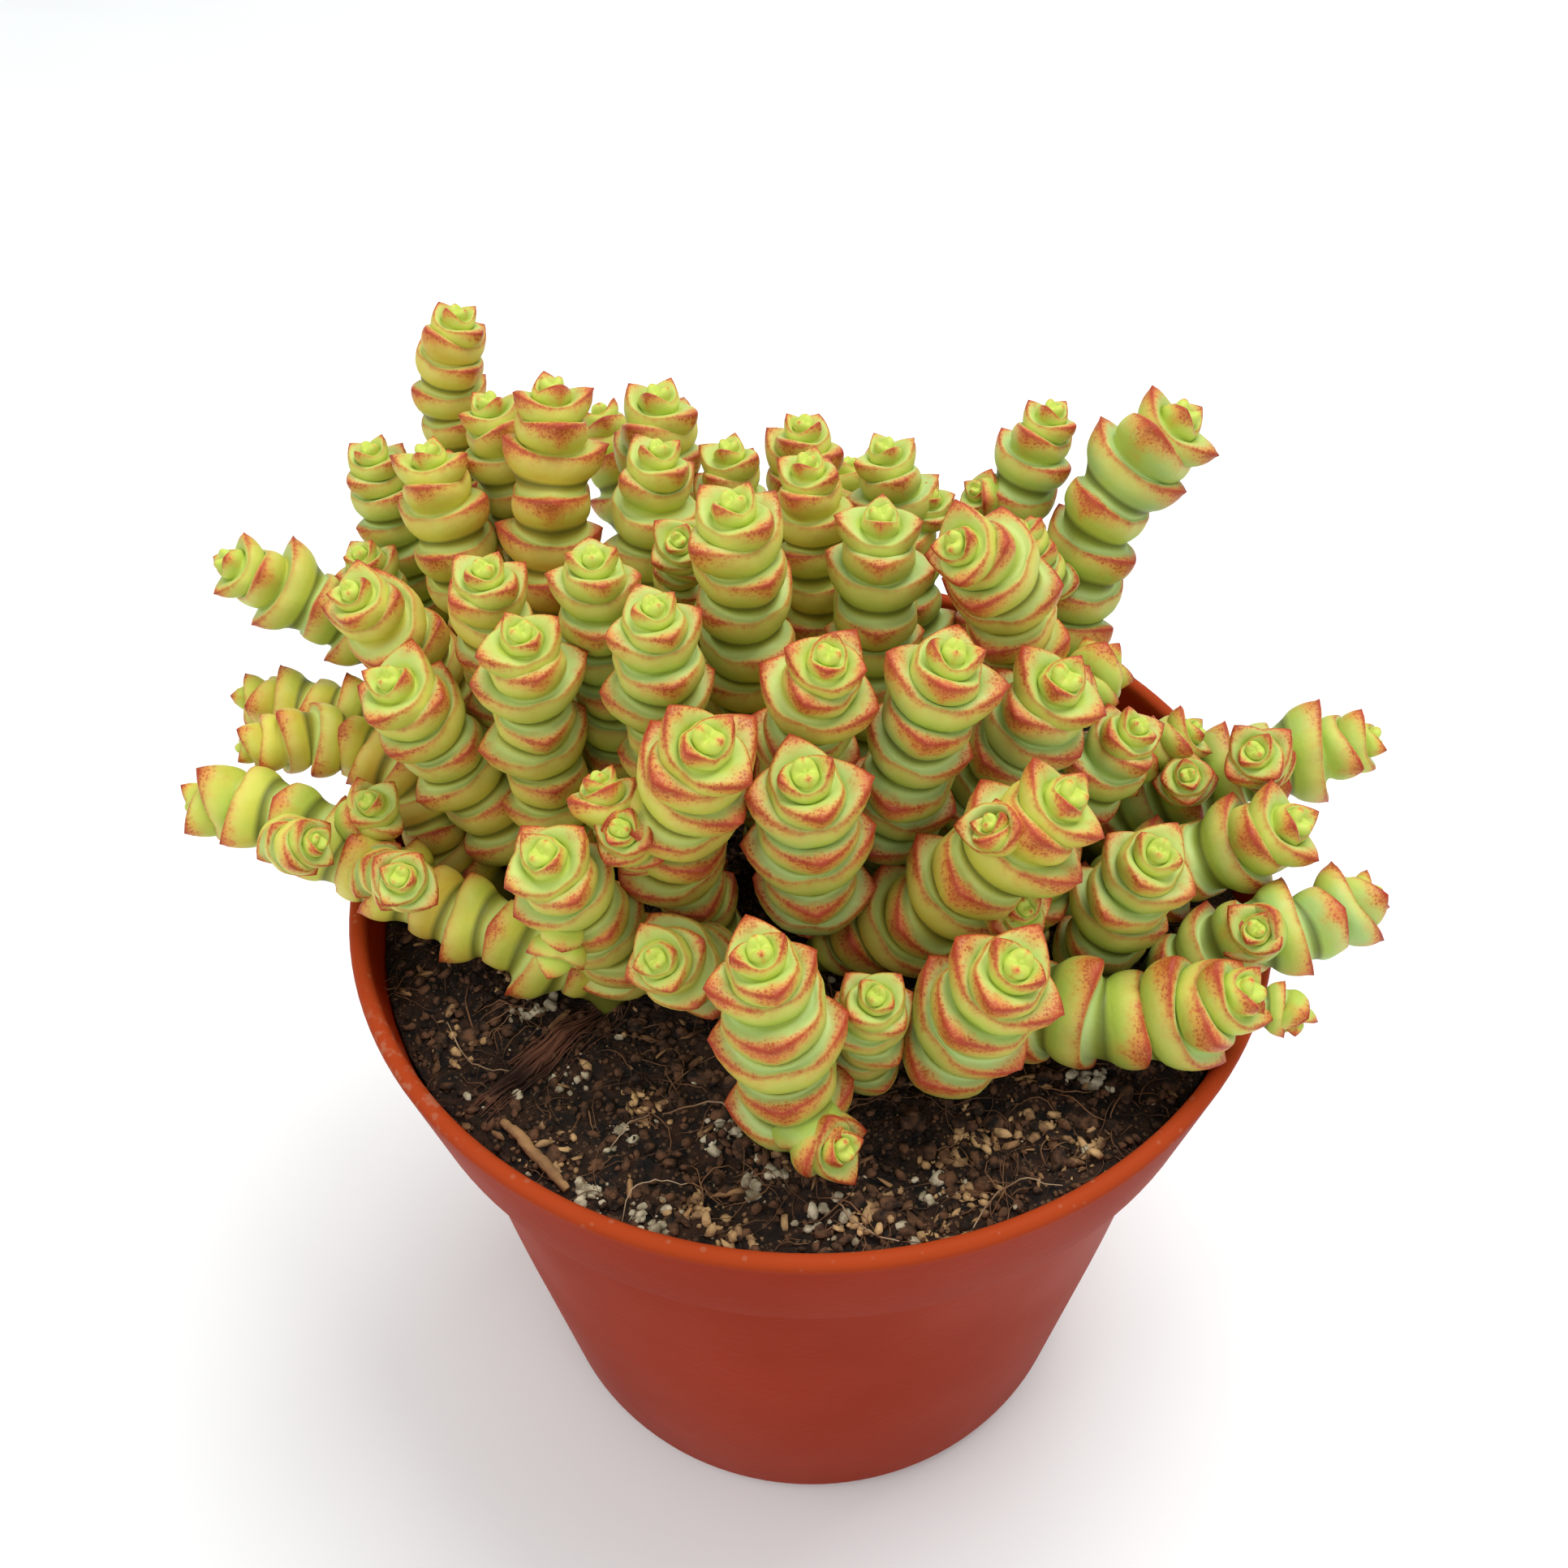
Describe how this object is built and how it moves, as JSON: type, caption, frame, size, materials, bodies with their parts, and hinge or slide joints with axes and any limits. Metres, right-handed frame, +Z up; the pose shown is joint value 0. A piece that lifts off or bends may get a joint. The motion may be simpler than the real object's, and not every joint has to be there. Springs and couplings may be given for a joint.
{
  "type": "potted crassula marnieriana",
  "caption": "Potted succulent: a clump of stems, each a chain of opposite leaf pairs threaded like beads, in soil in a terracotta-coloured plastic nursery pot.",
  "frame": {"origin": "centre of the flat underside of the pot, where it stands", "axes": "+Z up along the pot's axis, -Y towards the viewer, +X to the viewer's right"},
  "size_m": [0.1327, 0.1075, 0.1337],
  "materials": {
    "pot_plastic": "satin",
    "soil": "matte",
    "leaf": "satin"
  },
  "bodies": {
    "root": {"pot": "pot_plastic", "soil": "soil", "stem_rear_01": "leaf", "stem_rear_02": "leaf", "stem_rear_03": "leaf", "stem_rear_04": "leaf", "stem_rear_05": "leaf", "stem_rear_06": "leaf", "stem_rear_07": "leaf", "stem_rear_08": "leaf", "stem_rear_09": "leaf", "stem_rear_10": "leaf", "stem_rear_11": "leaf", "stem_rear_12": "leaf", "stem_rear_13": "leaf", "stem_rear_14": "leaf", "stem_rear_15": "leaf", "stem_middle_01": "leaf", "stem_middle_02": "leaf", "stem_middle_03": "leaf", "stem_middle_04": "leaf", "stem_middle_05": "leaf", "stem_middle_06": "leaf", "stem_middle_07": "leaf", "stem_middle_08": "leaf", "stem_middle_09": "leaf", "stem_middle_10": "leaf", "stem_middle_11": "leaf", "stem_middle_12": "leaf", "stem_middle_13": "leaf", "stem_left_01": "leaf", "stem_left_02": "leaf", "stem_left_03": "leaf", "stem_left_04": "leaf", "stem_left_05": "leaf", "stem_left_06": "leaf", "stem_front_01": "leaf", "stem_front_02": "leaf", "stem_front_03": "leaf", "stem_front_04": "leaf", "stem_front_05": "leaf", "stem_front_06": "leaf", "stem_right_01": "leaf", "stem_right_02": "leaf", "stem_right_03": "leaf", "stem_right_04": "leaf", "stem_right_05": "leaf", "stem_right_06": "leaf"}
  },
  "joints": []
}
